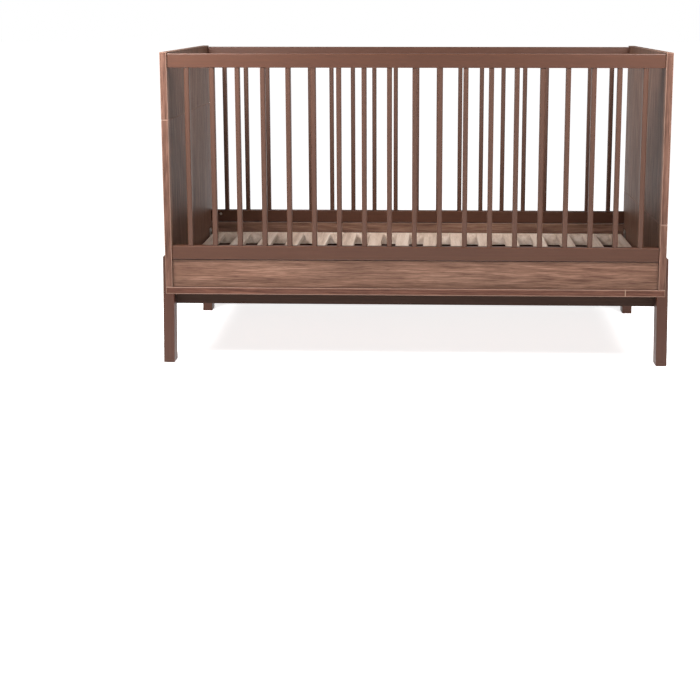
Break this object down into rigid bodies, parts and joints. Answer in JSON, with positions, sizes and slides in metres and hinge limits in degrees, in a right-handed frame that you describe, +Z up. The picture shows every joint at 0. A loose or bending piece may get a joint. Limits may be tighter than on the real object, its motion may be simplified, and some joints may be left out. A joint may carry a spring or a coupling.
{
  "type": "baby crib",
  "caption": "Wooden baby crib: laminated end panels, barred sides of upright spindles, splayed legs and a slatted mattress base that can be set higher.",
  "frame": {"origin": "on the floor, under the middle of the crib", "axes": "+X along the crib's length, +Y from the front barred side to the rear one, +Z up"},
  "size_m": [1.484, 0.76, 0.912],
  "materials": {
    "walnut_laminate": "satin walnut-pattern laminate with grain",
    "brown_rail_stain": "satin brown stain",
    "brown_spindle_stain": "satin brown stain",
    "brown_leg_stain": "satin brown stain",
    "dark_apron_stain": "satin dark brown stain",
    "raw_slat_wood": "bare planed wood",
    "zinc_plated_steel": "zinc plated"
  },
  "bodies": {
    "crib_frame": {"left_end_board_lower": "walnut_laminate", "left_end_board_upper": "walnut_laminate", "right_end_board_lower": "walnut_laminate", "right_end_board_upper": "walnut_laminate", "bottom_board": "walnut_laminate", "front_side_board": "walnut_laminate", "rear_side_board": "walnut_laminate", "front_top_rail": "brown_rail_stain", "front_bottom_rail": "brown_rail_stain", "rear_top_rail": "brown_rail_stain", "rear_bottom_rail": "brown_rail_stain", "front_spindle_01": "brown_spindle_stain", "front_spindle_02": "brown_spindle_stain", "front_spindle_03": "brown_spindle_stain", "front_spindle_04": "brown_spindle_stain", "front_spindle_05": "brown_spindle_stain", "front_spindle_06": "brown_spindle_stain", "front_spindle_07": "brown_spindle_stain", "front_spindle_08": "brown_spindle_stain", "front_spindle_09": "brown_spindle_stain", "front_spindle_10": "brown_spindle_stain", "front_spindle_11": "brown_spindle_stain", "front_spindle_12": "brown_spindle_stain", "front_spindle_13": "brown_spindle_stain", "front_spindle_14": "brown_spindle_stain", "front_spindle_15": "brown_spindle_stain", "front_spindle_16": "brown_spindle_stain", "front_spindle_17": "brown_spindle_stain", "front_spindle_18": "brown_spindle_stain", "front_spindle_19": "brown_spindle_stain", "rear_spindle_01": "brown_spindle_stain", "rear_spindle_02": "brown_spindle_stain", "rear_spindle_03": "brown_spindle_stain", "rear_spindle_04": "brown_spindle_stain", "rear_spindle_05": "brown_spindle_stain", "rear_spindle_06": "brown_spindle_stain", "rear_spindle_07": "brown_spindle_stain", "rear_spindle_08": "brown_spindle_stain", "rear_spindle_09": "brown_spindle_stain", "rear_spindle_10": "brown_spindle_stain", "rear_spindle_11": "brown_spindle_stain", "rear_spindle_12": "brown_spindle_stain", "rear_spindle_13": "brown_spindle_stain", "rear_spindle_14": "brown_spindle_stain", "rear_spindle_15": "brown_spindle_stain", "rear_spindle_16": "brown_spindle_stain", "rear_spindle_17": "brown_spindle_stain", "rear_spindle_18": "brown_spindle_stain", "rear_spindle_19": "brown_spindle_stain", "front_left_leg": "brown_leg_stain", "rear_left_leg": "brown_leg_stain", "front_right_leg": "brown_leg_stain", "rear_right_leg": "brown_leg_stain", "front_apron": "dark_apron_stain", "rear_apron": "dark_apron_stain", "front_left_base_bracket": "zinc_plated_steel", "rear_left_base_bracket": "zinc_plated_steel", "front_right_base_bracket": "zinc_plated_steel", "rear_right_base_bracket": "zinc_plated_steel"},
    "mattress_base": {"slatted_base": "raw_slat_wood"}
  },
  "joints": [
    {"name": "base_height", "type": "slide", "parent": "crib_frame", "child": "mattress_base", "axis": [0, 0, 1], "range_m": [0, 0.24]}
  ]
}
